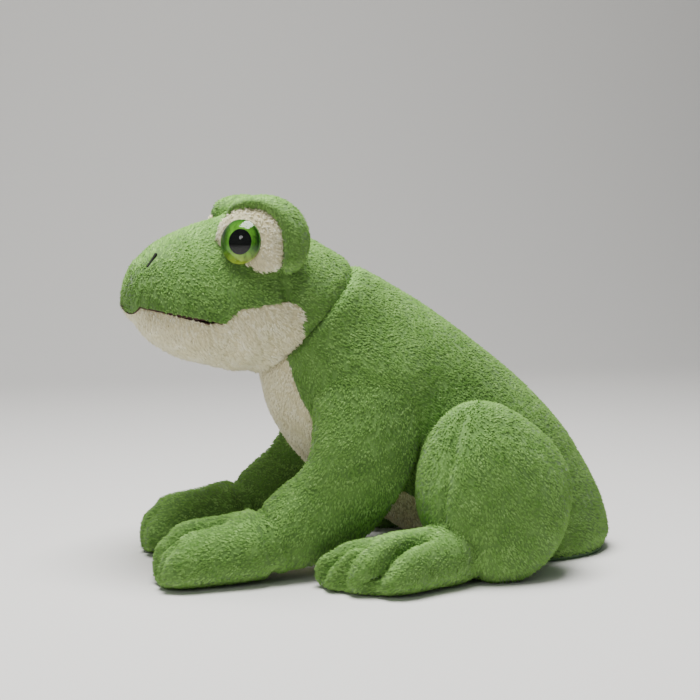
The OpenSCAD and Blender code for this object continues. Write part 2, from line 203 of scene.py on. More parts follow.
def grid_piece(name, grid, wrap):
    """A piece from a grid of points, its faces turned outwards from the grid's middle."""
    rows, columns = grid.shape[:2]
    made = mesh_piece(name, grid.reshape(-1, 3), grid_faces(rows, columns, wrap))
    data = made.data
    centres = np.array([p.center for p in data.polygons])
    normals = np.array([p.normal for p in data.polygons])
    rows_mid = grid.mean(axis=1).repeat(columns if wrap else columns - 1, axis=0)
    rows_mid = rows_mid[:len(centres)]
    if ((centres - rows_mid) * normals).sum() < 0:
        data.flip_normals()
    return made


def thicken(piece, thickness):
    """Gives a skin its thickness, inwards."""
    solid = piece.modifiers.new("thickness", "SOLIDIFY")
    solid.thickness = thickness
    solid.offset = -1
    solid.use_even_offset = False
    bpy.context.view_layer.objects.active = piece
    with bpy.context.temp_override(object=piece, active_object=piece):
        bpy.ops.object.modifier_apply(modifier=solid.name)


trunk = [[-15.5, 176.2, -68.5, 117, 39.5, 0.5, 0], [-9, 176, -68.5, 110, 41.8, 0.5, 0],
         [6, 168, -62, 88, 42, 0.5, 0], [34, 151, -44, 62, 42, 0.5, 0],
         [64, 129, -20, 42, 42, 0.5, 0],
         [94, 104, 4, 26, 44, 0.5, 0], [120, 76, 22, 14, 45, 0.5, 0],
         [141, 41, 32, 7.5, 45, 0.5, 0], [150, 15, 38, 4.5, 43, 0.5, 0],
         [147, 2.6, 42, 2.4, 40, 0.5, 0]]
neck_roll = [[-20.5, 171.4, -63.5, 122.1, 34, 0.5, 0], [-17, 175.5, -67, 118, 38.5, 0.5, 0]]
trunk_rows = np.vstack([neck_roll, through(trunk, 14)])
back = grid_piece("back_skin", oval_rows(trunk_rows, np.radians(np.linspace(-40, 220, 131))),
                  False)
belly = grid_piece("belly_skin", oval_rows(trunk_rows, np.radians(np.linspace(220, 320, 51))),
                   False)


# ---- Arms and hands -----------------------------------------------------------------------
# Each arm is a green tube from the shoulder, firmly stuffed at the elbow, and each hand is a
# flat pad of its own. One row of stitches pulled through the hand parts its two fingers.


def inside_by(points, solids):
    """How deep each point lies inside the nearest of these closed pieces, negative outside."""
    deepest = np.full(len(points), -1.0)
    for solid in solids:
        for i, p in enumerate(points):
            at, normal, _, gap = solid.find_nearest(Vector(p), 0.04)
            if at is not None:
                side = (Vector(p) - at).dot(normal)
                deepest[i] = max(deepest[i], -gap if side > 0 else gap)
    return deepest


def tree_of(piece):
    """A search tree over a piece's mesh as it is now."""
    data = piece.data
    return BVHTree.FromPolygons([v.co for v in data.vertices],
                                [tuple(p.vertices) for p in data.polygons])


def coordinates(piece):
    """A piece's points and their normals."""
    count = len(piece.data.vertices)
    place, normal = np.zeros(count * 3), np.zeros(count * 3)
    piece.data.vertices.foreach_get("co", place)
    piece.data.vertex_normals.foreach_get("vector", normal)
    return place.reshape(-1, 3), normal.reshape(-1, 3)


def move_points(piece, place):
    """Puts a piece's points at new places."""
    piece.data.vertices.foreach_set("co", place.ravel())
    piece.data.update()


def fillet(pieces, neighbours, reach):
    """Swells pieces near their neighbours, so that they run into one another as stuffed
    cloth does at a seam turned inside."""
    for piece in pieces:
        place, normal = coordinates(piece)
        depth = inside_by(place, neighbours)
        share = np.clip(1 - np.abs(depth) / reach, 0, 1)
        move_points(piece, place + normal * (reach / 4 * share ** 2)[:, None])


def closed(name, grid):
    """A closed piece from a grid of rings, its first and last rings drawn in to points."""
    start, end = (ring.mean(0) + (ring - ring.mean(0)) * 0.02 for ring in (grid[0], grid[-1]))
    return grid_piece(name, np.concatenate([start[None], grid, end[None]]), True)


def apply_modifier(piece, modifier):
    """Makes a modifier's result the piece's own mesh."""
    with bpy.context.temp_override(object=piece, active_object=piece):
        bpy.ops.object.modifier_apply(modifier=modifier.name)


def stuff(piece, voxel, pressure, most):
    """Presses stuffing into a closed skin: the cloth swells, by no more than the given
    distance, and settles into the soft creases that a filled bag has."""
    remesh = piece.modifiers.new("weave", "REMESH")
    remesh.mode = "VOXEL"
    remesh.voxel_size = voxel * MM
    apply_modifier(piece, remesh)
    before, _ = coordinates(piece)
    cloth = piece.modifiers.new("cloth", "CLOTH")
    cloth.settings.use_pressure = True
    cloth.settings.uniform_pressure_force = pressure
    cloth.settings.effector_weights.gravity = 0
    cloth.point_cache.frame_end = 20
    for frame_number in range(1, 21):
        bpy.context.scene.frame_set(frame_number)
    apply_modifier(piece, cloth)
    bpy.context.scene.frame_set(1)
    after, _ = coordinates(piece)
    moved = after - before
    moved -= moved.mean(0)
    size = np.linalg.norm(moved, axis=1)[:, None] + 1e-9
    move_points(piece, before + moved / size * np.minimum(size, most * MM))
    soften = piece.modifiers.new("soften", "SUBSURF")
    soften.levels = 1
    apply_modifier(piece, soften)
    piece.data.polygons.foreach_set("use_smooth", [True] * len(piece.data.polygons))


def gap_to(points, line):
    """How far each point lies from a line through the given places, in millimetres."""
    line = through(np.array(line), 8) * MM
    gaps = [np.linalg.norm(points - at, axis=1) for at in line]
    return np.min(gaps, axis=0) / MM


def laid_on(piece, line):
    """A line's places, each moved to the nearest place on the piece's skin."""
    skin = tree_of(piece)
    return [tuple(np.array(skin.find_nearest(Vector(at * MM))[0]) / MM)
            for at in through(np.array(line, float), 3)]


def stitch_down(piece, line, depth, width):
    """Draws a piece's skin in along a row of stitches."""
    place, normal = coordinates(piece)
    share = np.exp(-(gap_to(place, laid_on(piece, line)) / width) ** 2)
    move_points(piece, place - normal * (share * depth * MM)[:, None])


def gather(skins, section):
    """Draws the skins of two neighbours in along the seam round one section."""
    depth, width = 3, 3.5
    ring = oval_rows(np.array([section]), np.radians(np.arange(0, 361, 20)))[0] / MM
    for skin in skins:
        place, normal = coordinates(skin)
        share = np.exp(-(gap_to(place, ring) / width) ** 2)
        move_points(skin, place - normal * (share * depth * MM)[:, None])


def mirror_of(piece):
    """The right side's copy of a left piece."""
    made = bpy.data.objects.new(piece.name.replace("left", "right"), piece.data.copy())
    bpy.context.scene.collection.objects.link(made)
    place, _ = coordinates(made)
    move_points(made, place * np.array([1, -1, 1]))
    made.data.flip_normals()
    return made


arm = [[-30, 116, 12, 112, 5, 0.5, -35], [-40, 103, 13, 90, 10, 0.5, -40],
       [-46, 86, 10, 68, 12, 0.5, -45.5], [-51, 71, 2, 47, 11.5, 0.5, -47.5],
       [-58, 62, -11, 27, 10.5, 0.5, -46.5], [-66, 55, -31, 13, 13, 0.5, -45],
       [-74, 47, -50, 7, 15.5, 0.5, -45], [-80, 41, -70, 5, 17, 0.5, -45]]
hand = [[-69, 38, -61, 8, 15, 0.5, -45.5], [-78, 41.5, -73, 2.7, 20, 0.5, -45],
        [-93, 39, -90, 1, 22, 0.45, -45], [-109, 37, -108, 0, 23.5, 0.4, -44.5],
        [-123, 34, -123, 0, 25, 0.35, -44], [-133, 26, -133, 1, 22, 0.35, -43.5]]
round_angles = np.radians(np.arange(0, 360, 5))
arm_rows = np.vstack([rounded_end(arm[0], (-8, -33, 122), 5)[::-1], through(arm, 10)])
hand_rows = np.vstack([through(hand, 10), rounded_end(hand[-1], (-139, -43, 10), 9)])
arm_left = closed("arm_skin_plush_left", oval_rows(arm_rows, round_angles))
hand_left = closed("hand_skin_plush_left", oval_rows(hand_rows, round_angles))
stuff(arm_left, 3, 3, 1.5)
stuff(hand_left, 2.5, 3, 1.5)


# ---- Legs and feet ------------------------------------------------------------------------
# Each folded leg is one plump oval of green plush with a strip sewn down its front, and each
# foot is a flat pad splayed outwards, its toes parted by stitches pulled through.
thigh = [[-46.5, 57, 51, 43, 48], [-58, 56.5, 51.5, 45.5, 50], [-70, 56.5, 48.5, 44.5, 48],
         [-78, 56, 44, 40, 43.5]]
thigh_outer = (54, -93, 36)
foot = [[44, 34, 44, 2, 14, 0.5, -72], [30, 35.8, 30, 0.2, 17, 0.5, -76],
        [12, 34, 12, 0, 19, 0.4, -81], [-6, 33, -6, 0, 22.5, 0.35, -85],
        [-20, 31, -20, 0, 21.5, 0.35, -84], [-34, 28, -34, 0, 17, 0.35, -79.5],
        [-45, 20, -45, 1, 10.5, 0.35, -73.5]]
thigh_rows = through(thigh, 8)
for a in np.linspace(0, math.pi / 2, 13)[1:]:
    c, s = max(math.cos(a), 0.01), math.sin(a)
    y, x, z, length, height = thigh[-1]
    thigh_rows = np.vstack([thigh_rows, [y + (thigh_outer[1] - y) * s,
                                         x + (thigh_outer[0] - x) * s,
                                         z + (thigh_outer[2] - z) * s, length * c, height * c]])
y, x, z, length, height = (thigh_rows[:, i, None] for i in range(5))
knee = np.clip(np.sin(round_angles), 0, 1) ** 2
thigh_grid = np.stack([x + length * np.cos(round_angles) * (1 - 0.2 * knee)
                       - 0.2 * length * knee, y + 0 * round_angles,
                       z + height * np.sin(round_angles)], -1) * MM
foot_rows = np.vstack([through(foot, 10), rounded_end(foot[-1], (-51, -71, 9), 9)])
thigh_left = closed("thigh_skin_plush_left", thigh_grid)
foot_left = closed("foot_skin_plush_left", oval_rows(foot_rows, round_angles))
stuff(thigh_left, 3.5, 3, 2)
stuff(foot_left, 2.5, 3, 1.5)

trunk_tree = tree_of(closed("trunk_form", oval_rows(trunk_rows, round_angles)))
arm_tree, hand_tree, thigh_tree, foot_tree = (
    tree_of(p) for p in (arm_left, hand_left, thigh_left, foot_left))
far_arm, far_thigh = mirror_of(arm_left), mirror_of(thigh_left)
fillet([back, belly], [arm_tree, tree_of(far_arm)], 0.03)
fillet([back, belly], [thigh_tree, tree_of(far_thigh)], 0.016)
fillet([thigh_left], [trunk_tree], 0.016)
for spare in (bpy.data.objects["trunk_form"], far_arm, far_thigh):
    bpy.data.objects.remove(spare)
fillet([arm_left], [trunk_tree], 0.03)
fillet([arm_left], [hand_tree], 0.003)
fillet([hand_left], [arm_tree], 0.004)
fillet([foot_left], [thigh_tree], 0.004)
fillet([thigh_left], [foot_tree], 0.003)

finger_line = [(-140, -47, 8), (-134, -48, 22), (-121, -49, 33), (-102, -48, 38)]
toe_lines = [[(-53, -76, 6), (-45, -78, 18), (-34, -79, 28), (-20, -80, 32)],
             [(-30, -105, 4), (-20, -102, 16), (-8, -96, 27), (8, -89, 34)],
             [(-43, -90, 4), (-38, -89, 16), (-28, -87, 27)]]
front_strip = [(32, -70, 98), (22, -82, 84), (17.5, -86, 71), (16, -88, 54), (15, -87, 38)]
fingertip_lines = [[(-138, y, 4), (-135, y, 16), (-128, top_y, 26)]
                   for y, top_y in ((-58, -57), (-34, -35))]
stitch_down(hand_left, finger_line, 8, 4.5)
for line in fingertip_lines:
    stitch_down(hand_left, line, 2.5, 3)
for line, depth in zip(toe_lines, (7, 9, 5)):
    stitch_down(foot_left, line, depth, 4.5)
stitch_down(thigh_left, front_strip, 3, 2.6)
front_strip = laid_on(thigh_left, front_strip)
gather((arm_left, hand_left), [-79, 43, -71, 2, 22, 0.45, -45])
gather((foot_left, thigh_left), [34, 36, 40, -1, 17, 0.5, -75])
arm_right, hand_right, thigh_right, foot_right = (
    mirror_of(p) for p in (arm_left, hand_left, thigh_left, foot_left))


# ---- Head ---------------------------------------------------------------------------------
# Green plush over the neck, crown and snout, sewn from two panels with a seam down each
# cheek. The snout's flat underside is the lined palate that the fingers press on.
head = [[-16, 176.8, -69, 117.6, 39.5, 0.5, 0], [-20, 182.5, -72.5, 116.2, 42.6, 0.5, 0],
        [-40, 194, -79, 118, 47, 0.5, 0],
        [-62, 204.5, -88, 118, 50, 0.45, 0], [-84, 208.5, -96, 123, 50, 0.45, 0],
        [-97, 206, -99, 148.6, 48.5, 0, 0], [-115, 200, -115, 152, 45.5, 0, 0],
        [-132, 191.5, -131, 155, 37.5, 0, 0], [-144, 181, -143, 157, 24.5, 0, 0]]
head_rows = np.vstack([[-13, 170, -64, 123, 32, 0.5, 0], through(head[:2], 4)[:-1],
                       through(head[1:], 12), rounded_end(head[-1], (-151, 0, 158.6), 10)])
edge = np.radians(np.interp(np.arange(len(head_rows)), [4, 7, 10, 12, 15, 19, 25, 29, 41, 53],
                            [-16, -9, -3, 2, 4, 5, 3, 2, -12, 0]))
crown_angles = edge[:, None] + (math.pi - 2 * edge[:, None]) * np.linspace(0, 1, 121)
under_angles = math.pi - edge[:, None] + (math.pi + 2 * edge[:, None]) * np.linspace(0, 1, 91)
crown = grid_piece("crown_skin", oval_rows(head_rows, crown_angles), False)
palate = grid_piece("palate_lining", oval_rows(head_rows[53:], under_angles[53:]), False)
cheek_seam = [(-66, -50, 180), (-64.5, -50, 170), (-63, -50, 160)]
for y_side in (1, -1):
    stitch_down(crown, [(x, y_side * y, z) for x, y, z in cheek_seam], 2.4, 2.4)


# ---- Jaw and throat -----------------------------------------------------------------------
# One cream panel from the chin over both cheeks to the throat. In front of the mouth's
# corners it wraps the jaw, with the lower half of the mouth's lining on top.
jaw = [[-105.4, 148.3, -106, 122.4, 45.5, 1, 0], [-118, 151.5, -121, 127, 43, 1, 0],
       [-132, 155, -136, 137, 35, 1, 0], [-143, 157.8, -144.5, 147.5, 22.5, 1, 0]]
jaw_rows = np.vstack([through(jaw, 10), rounded_end(jaw[-1], (-149.5, 0, 156.6), 8)])
throat_grid = oval_rows(head_rows[:38], under_angles[:38])
jaw_grid = oval_rows(jaw_rows, np.radians(np.linspace(180, 360, 91)))
joining = []
for share in np.linspace(0, 1, 14)[1:-1]:
    bend = share * share * (3 - 2 * share)
    joining.append(throat_grid[-1] * (1 - bend) + jaw_grid[0] * bend)
    joining[-1][:, 0] = throat_grid[-1][:, 0] * (1 - share) + jaw_grid[0][:, 0] * share
throat = grid_piece("throat_skin", np.concatenate([throat_grid, joining[:4]]), False)
jaw_skin = grid_piece("jaw_skin_plush", np.concatenate([joining[3:], jaw_grid]), False)
tongue = grid_piece("tongue_lining", oval_rows(jaw_rows, np.radians(np.linspace(0, 180, 61))),
                    False)


# ---- Eye surrounds ------------------------------------------------------------------------
# A stuffed green lobe stands up at each side of the crown. Its outer face is a cream patch
# that carries the eye, and a green roll wraps the patch from its front, over it, to the rear.
eye_low, eye_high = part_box("eye_pupil_left")
eye_middle = (np.array(eye_low) + np.array(eye_high)) / 2 / MM
eye_out = np.array([-0.612, -0.784, 0.105])
eye_back = np.array([0.788, -0.615, 0.0])
eye_up = np.cross(eye_back, -eye_out)
eye_up *= np.sign(eye_up[2])


def on_eye(back_by, up_by, depth):
    """A place in millimetres, from how far it lies behind, above and within the eye."""
    return eye_middle + eye_back * back_by + eye_up * up_by - eye_out * depth


def lobe(name, middle, radii, corners=(2, 2, 2, 2)):
    """A closed lobe whose short way lies along the eye's axis. Each quarter of its outline is
    a round (2), a flatter (less) or a squarer (more) corner, from upper rear to lower rear."""
    grid = []
    for a in np.radians(np.linspace(-88, 88, 40)):
        ring = []
        for b in round_angles:
            power = 2 / corners[int(b / (math.pi / 2) + 1e-6)]
            c, s = math.cos(b), math.sin(b)
            h = math.copysign(abs(c) ** power, c) * radii[0] * math.cos(a)
            v = math.copysign(abs(s) ** power, s) * radii[1] * math.cos(a)
            ring.append(on_eye(middle[0] + h, middle[1] + v,
                               middle[2] - radii[2] * math.sin(a)))
        grid.append(ring)
    return closed(name, np.array(grid) * MM)


hood_left = lobe("hood_skin_left", (4.5, 4, 20), (22.5, 21, 14))
patch_left = lobe("patch_skin_left", (1.5, 2.2, 9.3), (21.5, 18.7, 9), (2.2, 2, 1.3, 3.6))
roll_path = [(-15, 14, 12, 1.5, 4), (-9, 20, 11.5, 2.6, 6), (2, 22.6, 11, 3, 8),
             (13, 21.3, 12, 3.6, 9), (23, 14.5, 13, 4.5, 9), (27.5, 4, 14.5, 5, 9),
             (26.5, -6, 15.5, 4.5, 8), (21.5, -15, 16.5, 3, 6)]
roll_rows = through(roll_path, 8)
roll_grid = []
for i, row in enumerate(roll_rows):
    onward = roll_rows[min(i + 1, len(roll_rows) - 1)] - roll_rows[max(i - 1, 0)]
    outward = np.array([-onward[1], onward[0]]) / np.hypot(onward[0], onward[1])
    end = min(i, len(roll_rows) - 1 - i)
    share = math.sqrt(1 - (1 - min(end / 6, 1)) ** 2) + 0.02
    roll_grid.append([on_eye(*(row[:2] + outward * row[3] * share * math.cos(b)),
                             row[2] + row[4] * share * math.sin(b)) for b in round_angles])
roll_left = closed("hood_roll_left", np.array(roll_grid) * MM)
crown_tree, hood_tree, roll_tree = tree_of(crown), tree_of(hood_left), tree_of(roll_left)
fillet([roll_left], [crown_tree, hood_tree], 0.01)
fillet([hood_left], [crown_tree], 0.012)
hood_right, patch_right, roll_right = (mirror_of(p) for p in (hood_left, patch_left, roll_left))
fillet([crown], [hood_tree, tree_of(hood_right), roll_tree, tree_of(roll_right)], 0.012)


# ---- Pile ---------------------------------------------------------------------------------
# Short brushed polyester pile, which stands in clumps about 1.5 mm wide that all lean along
# the nap. The knitted backing only shows where the pile parts, at seams and bends; its colour
# is painted darker than the pile's, as the shade in those gaps.


def low_noise(points, size, seed):
    """A smooth value from about -1 to 1 that drifts over this size."""
    chance = np.random.default_rng(seed)
    total = np.zeros(len(points))
    for _ in range(8):
        direction = chance.normal(size=3)
        direction /= np.linalg.norm(direction)
        total += np.sin(points @ direction * 2 * math.pi / (size * chance.uniform(0.7, 1.5))
                        + chance.uniform(0, 6.3))
    return total / 3


def pile_colours(name, codes):
    """Plain dyed polyester fibre in a few depths of one colour, as clumps of pile show it:
    matt, with the soft sheen of fine fibre seen from the side."""
    made = []
    for i, code in enumerate(codes):
        fibre, tree = new_material(f"{name}_{i + 1}")
        principled(tree, Base_Color=srgb(code), Roughness=0.85, Sheen_Weight=0.3,
                   Sheen_Tint=srgb(codes[-1]), Sheen_Roughness=0.4, Specular_IOR_Level=0.25)
        made.append(fibre)
    return made


def pile(name, piece, nap, colours, clear_of, seed, length=2.2, lean=62, swirl=0.5,
         seams=(), bare=(), holes=()):
    """Short pile on a piece's mesh: one small closed clump of fibre for each few millimetres,
    leaning along the nap, which is a direction. Sizes are in millimetres."""
    spacing, width = 1.3, 1.35
    crushed, covered, seam_gap, thread_gap = 1.2 * MM, 1.2 * MM, 0.9, 0.7 * MM
    direction_drift, lean_drift, colour_drift = 30 * MM, 45 * MM, 12 * MM
    chance = np.random.default_rng(seed)
    data = piece.data
    data.calc_loop_triangles()
    corners = np.array([t.vertices for t in data.loop_triangles])
    place, normal = coordinates(piece)
    a, b, c = (place[corners[:, i]] for i in range(3))
    area = np.linalg.norm(np.cross(b - a, c - a), axis=1) / 2
    count = int(area.sum() / (spacing * MM) ** 2)
    which = chance.choice(len(area), count, p=area / area.sum())
    u, v = chance.random(count), chance.random(count)
    flip = u + v > 1
    u[flip], v[flip] = 1 - u[flip], 1 - v[flip]
    w = 1 - u - v
    base = a[which] * w[:, None] + b[which] * u[:, None] + c[which] * v[:, None]
    up = sum(normal[corners[which, i]] * k[:, None] for i, k in enumerate((w, u, v)))
    up /= np.linalg.norm(up, axis=1)[:, None]
    good = base[:, 2] > crushed
    if clear_of:
        good &= inside_by(base, clear_of) < covered
    for line in seams:
        good &= gap_to(base, line) > seam_gap
    if bare:
        good &= inside_by(base, bare) < -thread_gap
    for middle, radius in holes:
        good &= np.linalg.norm(base - middle, axis=1) > radius
    base, up = base[good], up[good]
    count = len(base)
    along = np.array(nap) + swirl * np.stack(
        [low_noise(base, direction_drift, seed + k) for k in (1, 2, 3)], -1) * 0.5
    along += chance.normal(scale=0.22, size=(count, 3))
    along -= up * (along * up).sum(1)[:, None]
    along /= np.linalg.norm(along, axis=1)[:, None] + 1e-9
    across = np.cross(up, along)
    laid = low_noise(base, lean_drift, seed + 7)
    tilt = np.radians(lean + 8 * laid + chance.normal(scale=8, size=count))[:, None]
    reach = (length * MM * chance.uniform(0.7, 1.25, count))[:, None]
    half = (width / 2 * MM * chance.uniform(0.7, 1.2, count))[:, None]
    tip = base + (up * np.cos(tilt) + along * np.sin(tilt)) * reach
    root = base - up * 0.5 * MM
    left, right = root - across * half, root + across * half
    ridge = base + up * 0.75 * MM + along * reach * 0.25
    verts = np.stack([left, right, ridge, tip], 1).reshape(-1, 3)
    verts[:, 2] = np.maximum(verts[:, 2], 0.2 * MM)
    first = np.arange(count)[:, None] * 4
    faces = np.concatenate([first + f for f in ([0, 2, 1], [1, 2, 3], [0, 3, 2], [0, 1, 3])], 1)
    faces = faces.reshape(-1, 3)
    made_data = bpy.data.meshes.new(name)
    made_data.vertices.add(len(verts))
    made_data.vertices.foreach_set("co", verts.ravel())
    made_data.loops.add(len(faces) * 3)
    made_data.loops.foreach_set("vertex_index", faces.ravel())
    made_data.polygons.add(len(faces))
    made_data.polygons.foreach_set("loop_start", np.arange(len(faces)) * 3)
    made_data.polygons.foreach_set("use_smooth", [True] * len(faces))
    depth = low_noise(base, colour_drift, seed + 5) * 0.5 + chance.normal(scale=0.55, size=count)
    shade = np.clip(np.round(depth + (len(colours) - 1) / 2), 0, len(colours) - 1).astype(int)
    made_data.polygons.foreach_set("material_index", shade.repeat(4))
    made_data.update()
    under = along * 0.85 + up * 0.4
    left_side, right_side = up * 0.8 - across * 0.55, up * 0.8 + across * 0.55
    front = up * 0.9 + along * 0.4
    corner_normals = np.stack([left_side, up, right_side, right_side, up, front, left_side,
                               front, up, under, under, under], 1).reshape(-1, 3)
    corner_normals /= np.linalg.norm(corner_normals, axis=1)[:, None]
    made_data.normals_split_custom_set(corner_normals.tolist())
    for colour in colours:
        made_data.materials.append(colour)
    made = bpy.data.objects.new(name, made_data)
    bpy.context.scene.collection.objects.link(made)
    return made


def plush_backing(name, dark, light):
    """Knitted polyester backing with the base of the pile: matt, mottled in the fibre's size, and
    painted darker than the pile, darkest in the pits of its bump, as shade in the gaps between
    clumps.
    """
    cloth, tree = new_material(name)
    where = add_node(tree, "TexCoord").outputs["Object"]
    clump_bumps_and_gap_shade = add_node(tree, "TexNoise", {"Vector": where, "Scale": 700.0, "Detail": 3.0})
    drift = add_node(tree, "TexNoise", {"Vector": where, "Scale": 60.0, "Detail": 2.0})
    mixed = add_node(tree, "Math", {0: clump_bumps_and_gap_shade.outputs[0], 1: drift.outputs[0]}, operation="ADD")
    # Painted shade: the ramp darkens the backing where its fine bump is low.
    ramp = add_node(tree, "ValToRGB", {0: add_node(
        tree, "Math", {0: mixed.outputs[0], 1: 0.5}, operation="MULTIPLY").outputs[0]})
    ramp.color_ramp.elements[0].position = 0.35
    ramp.color_ramp.elements[0].color = srgb(dark)
    ramp.color_ramp.elements[1].position = 0.65
    ramp.color_ramp.elements[1].color = srgb(light)
    bump = add_node(tree, "Bump", {"Height": clump_bumps_and_gap_shade.outputs[0], "Strength": 0.6,
                                   "Distance": 0.0006})
    principled(tree, Base_Color=ramp.outputs[0], Roughness=0.95, Normal=bump.outputs[0],
               Sheen_Weight=0.2)
    return cloth


# Both backings are coloured darker than their pile: painted shade for the gaps where the pile
# parts.
green_backing_and_gap_shade = plush_backing("knitted_green_plush_backing", "#446628", "#60873d")
cream_backing_and_gap_shade = plush_backing("knitted_cream_plush_backing", "#b5ab84", "#d4cca6")
green_pile = pile_colours("brushed_green_polyester_pile",
                          ["#5d883a", "#6c9646", "#7aa453", "#8ab263"])
cream_pile = pile_colours("brushed_cream_polyester_pile",
                          ["#d8d0a8", "#e5deba", "#efe9c9", "#f7f3da"])

to_rear, to_hand, to_toes, down = (0.8, 0, -0.55), (-0.6, 0, -0.8), (-1, 0, -0.1), (0.4, 0, -1)
crown_tree = tree_of(crown)

# The neck turns about this axis. These are its middle, a pair of points on the axis below the
# middle and a pair from the middle up, and a pair of points between the mouth's corners.
neck_axis = np.array([-0.753, 0, 0.658])
neck_middle = np.array([-0.0435, 0, 0.148])
toward_trunk = (neck_middle - neck_axis * 0.03, neck_middle - neck_axis * 0.004)
toward_head = (neck_middle + neck_axis * 0.023, neck_middle)
jaw_line = ((-0.098, 0, 0.149), (-0.122, 0, 0.14))


def cover(skin, nap, colours, backing, slot_name, stands_for, clear_of=(), seed=0, fill=None,
          thickness=0, **details):
    """Finishes a plush piece: its backing, its pile and the solids it stands for.
    Returns the skin and its pile."""
    tufts = pile(skin.name.replace("skin", "pile"), skin, nap, colours, clear_of, seed, **details)
    if thickness:
        thicken(skin, thickness * MM)
    place, _ = coordinates(skin)
    place[:, 2] = np.maximum(place[:, 2], 0)
    move_points(skin, place)
    skin.data.materials.append(backing)
    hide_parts(*stands_for)
    return skin, tufts


def bend(pieces, first, second, between):
    """Bakes the placement of a skin and its pile into their meshes."""
    for piece in pieces:
        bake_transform(piece)


trees = {p.name: tree_of(p) for p in (arm_left, hand_left, thigh_left, foot_left, arm_right,
                                      hand_right, thigh_right, foot_right, hood_left, hood_right,
                                      roll_left, roll_right, patch_left, patch_right)}
limbs = [tree for key, tree in trees.items() if key.startswith(("arm", "thigh"))]
lobes = [tree for key, tree in trees.items() if key.startswith(("hood", "patch"))]
green = (green_pile, green_backing_and_gap_shade, "green_plush")
cream = (cream_pile, cream_backing_and_gap_shade, "cream_plush")


# ---- Cover of the trunk -------------------------------------------------------------------
# Green plush over the back and both sides, with its nap down towards the rump, and a beige
# chest and belly. Both are gathered on the neck's collar.
bend(cover(back, to_rear, *green, ["side_panel_left", "side_panel_right", "padding_back",
                                   "padding_left", "padding_right"], limbs, 11, 0.7, 2),
     "trunk", "neck", toward_trunk)
bend(cover(belly, down, cream_pile, cream_backing_and_gap_shade, "beige_plush",
           ["belly_panel", "padding_belly"], limbs, 12, 0.7, 2), "trunk", "neck", toward_trunk)


# ---- Cover of the head and jaw ------------------------------------------------------------
# Green plush on the crown and snout, cream plush from the chin to the throat. The pile is
# picked clear of the cheek seams and nostrils, and cut out under the eyes' back plates.
both_cheeks = [laid_on(crown, [(x, side * y, z) for x, y, z in cheek_seam])
               for side in (1, -1)]
eye_plate = 0.0118
bend(cover(crown, to_rear, *green, ["neck_panel", "muzzle_skin", "head_padding"], lobes, 13,
           0.7, 2, seams=both_cheeks,
           bare=[tree_of(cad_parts[f"nostril_{side}"]) for side in ("left", "right")],
           holes=[(eye_middle * MM * np.array([1, mirror, 1]), eye_plate)
                  for mirror in (1, -1)]),
     "head", "neck", toward_head)
to_throat = (0.8, 0, -0.7)
bend(cover(throat, to_throat, *cream, ["cheek_panel"], [], 14, 0.6, 2, length=3),
     "head", "neck", toward_head)
bend(cover(jaw_skin, to_throat, *cream, ["jaw_skin", "jaw_padding"], [], 15, 0.6, 2, length=3),
     "head", "jaw", jaw_line)


# ---- Covers of the limbs and eye surrounds ------------------------------------------------
# The limbs' skins carry their pile with the nap towards the toes. The thighs are hung whole
# on their own bodies. The eye surrounds are sewn to the crown and hung on the head.
for side, mirror in (("left", 1), ("right", -1)):
    arm_piece, hand_piece, thigh_piece, foot_piece, hood_piece, roll_piece, patch_piece = (
        bpy.data.objects[f"{part}_{side}"] for part in
        ("arm_skin_plush", "hand_skin_plush", "thigh_skin_plush", "foot_skin_plush",
         "hood_skin", "hood_roll", "patch_skin"))
    strip = [(x, mirror * y, z) for x, y, z in front_strip]
    bend(cover(arm_piece, to_hand, *green, [f"arm_skin_{side}", f"arm_filling_{side}"],
               [trunk_tree, trees[hand_piece.name]], 16, 0.8),
         "trunk", "arm_" + side, ((-0.008, 0, 0.1), (-0.035, 0, 0.062)))
    bend(cover(hand_piece, to_toes, *green, [f"hand_skin_{side}", f"hand_filling_{side}"],
               [trees[arm_piece.name]], 17, 0.7),
         "arm_" + side, "hand_" + side, ((-0.07, 0, 0.022), (-0.086, 0, 0.022)))
    for piece in cover(thigh_piece, down, *green,
                       [f"thigh_skin_{side}", f"thigh_filling_{side}"],
                       [trunk_tree, trees[foot_piece.name]], 18, 0.8, seams=[strip]):
        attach(piece, "thigh_" + side)
    bend(cover(foot_piece, to_toes, *green, [f"foot_skin_{side}", f"foot_filling_{side}"],
               [trees[thigh_piece.name]], 19, 0.7),
         "thigh_" + side, "foot_" + side, ((0.036, 0, 0.018), (0.018, 0, 0.018)))
    for piece in (*cover(hood_piece, to_rear, *green, [f"eye_hood_{side}"],
                         [crown_tree, trees[patch_piece.name], trees[roll_piece.name]], 20, 0.8),
                  *cover(roll_piece, to_rear, *green, [],
                         [crown_tree, trees[patch_piece.name]], 21, 0.8),
                  *cover(patch_piece, to_rear, *cream, [f"eye_patch_{side}"],
                         [crown_tree, trees[roll_piece.name]], 22, 0.6,
                         holes=[(eye_middle * MM * np.array([1, mirror, 1]), eye_plate)])):
        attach(piece, "head")


# ---- Mouth lining -------------------------------------------------------------------------
# Both halves of the mouth are lined with one piece of pressed wool felt, glued to two boards
# of grey fibre board. They meet at the fold in the corners of the mouth.


